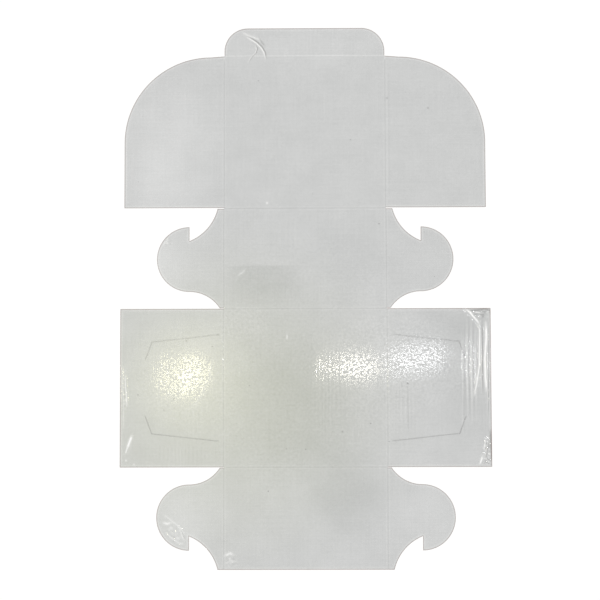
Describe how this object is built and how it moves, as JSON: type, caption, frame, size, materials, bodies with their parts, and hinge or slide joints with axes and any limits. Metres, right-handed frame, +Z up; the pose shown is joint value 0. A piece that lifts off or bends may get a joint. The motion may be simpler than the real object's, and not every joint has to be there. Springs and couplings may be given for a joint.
{
  "type": "flat-packed cake box",
  "caption": "Clear cake box as its flat creased sheet: walls, lid, tab and flaps fold up about their creases, and hooks catch in slits in the side walls.",
  "frame": {"origin": "middle of the base panel, on its underside", "axes": "+Z up, towards the inside of the folded box; +Y from the base to the lid; +X to the right with the lid at the back"},
  "size_m": [0.3624, 0.531, 0.0003],
  "materials": {
    "clear_sheet": "clear glossy film with a grey tint, light scuffs and ripples"
  },
  "bodies": {
    "base_panel": {"base_panel": "clear_sheet"},
    "front_wall": {"front_wall": "clear_sheet"},
    "back_wall": {"back_wall": "clear_sheet"},
    "left_wall": {"left_wall": "clear_sheet"},
    "right_wall": {"right_wall": "clear_sheet"},
    "lid": {"lid": "clear_sheet"},
    "tuck_tab": {"tuck_tab": "clear_sheet"},
    "lid_left_flap": {"lid_left_flap": "clear_sheet"},
    "lid_right_flap": {"lid_right_flap": "clear_sheet"},
    "back_left_hook": {"back_left_hook": "clear_sheet"},
    "back_right_hook": {"back_right_hook": "clear_sheet"},
    "front_left_hook": {"front_left_hook": "clear_sheet"},
    "front_right_hook": {"front_right_hook": "clear_sheet"}
  },
  "joints": [
    {"name": "front_wall_fold", "type": "hinge", "parent": "base_panel", "child": "front_wall", "pos_m": [0, -0.0772, 0.0002], "axis": [-1, 0, 0], "range_deg": [0, 90]},
    {"name": "back_wall_fold", "type": "hinge", "parent": "base_panel", "child": "back_wall", "pos_m": [0, 0.0772, 0.0002], "axis": [1, 0, 0], "range_deg": [0, 90]},
    {"name": "left_wall_fold", "type": "hinge", "parent": "base_panel", "child": "left_wall", "pos_m": [-0.0802, 0, 0.0002], "axis": [0, 1, 0], "range_deg": [0, 90]},
    {"name": "right_wall_fold", "type": "hinge", "parent": "base_panel", "child": "right_wall", "pos_m": [0.0802, 0, 0.0002], "axis": [0, -1, 0], "range_deg": [0, 90]},
    {"name": "lid_fold", "type": "hinge", "parent": "back_wall", "child": "lid", "pos_m": [0, 0.176, 0.0002], "axis": [1, 0, 0], "range_deg": [0, 90]},
    {"name": "tuck_tab_fold", "type": "hinge", "parent": "lid", "child": "tuck_tab", "pos_m": [0, 0.3276, 0.0002], "axis": [1, 0, 0], "range_deg": [0, 90]},
    {"name": "lid_left_flap_fold", "type": "hinge", "parent": "lid", "child": "lid_left_flap", "pos_m": [-0.0794, 0.2518, 0.0002], "axis": [0, 1, 0], "range_deg": [0, 90]},
    {"name": "lid_right_flap_fold", "type": "hinge", "parent": "lid", "child": "lid_right_flap", "pos_m": [0.0794, 0.2518, 0.0002], "axis": [0, -1, 0], "range_deg": [0, 90]},
    {"name": "back_left_hook_fold", "type": "hinge", "parent": "back_wall", "child": "back_left_hook", "pos_m": [-0.0798, 0.1266, 0.0002], "axis": [0, 1, 0], "range_deg": [0, 90]},
    {"name": "back_right_hook_fold", "type": "hinge", "parent": "back_wall", "child": "back_right_hook", "pos_m": [0.0798, 0.1266, 0.0002], "axis": [0, -1, 0], "range_deg": [0, 90]},
    {"name": "front_left_hook_fold", "type": "hinge", "parent": "front_wall", "child": "front_left_hook", "pos_m": [-0.0798, -0.1266, 0.0002], "axis": [0, 1, 0], "range_deg": [0, 90]},
    {"name": "front_right_hook_fold", "type": "hinge", "parent": "front_wall", "child": "front_right_hook", "pos_m": [0.0798, -0.1266, 0.0002], "axis": [0, -1, 0], "range_deg": [0, 90]}
  ]
}
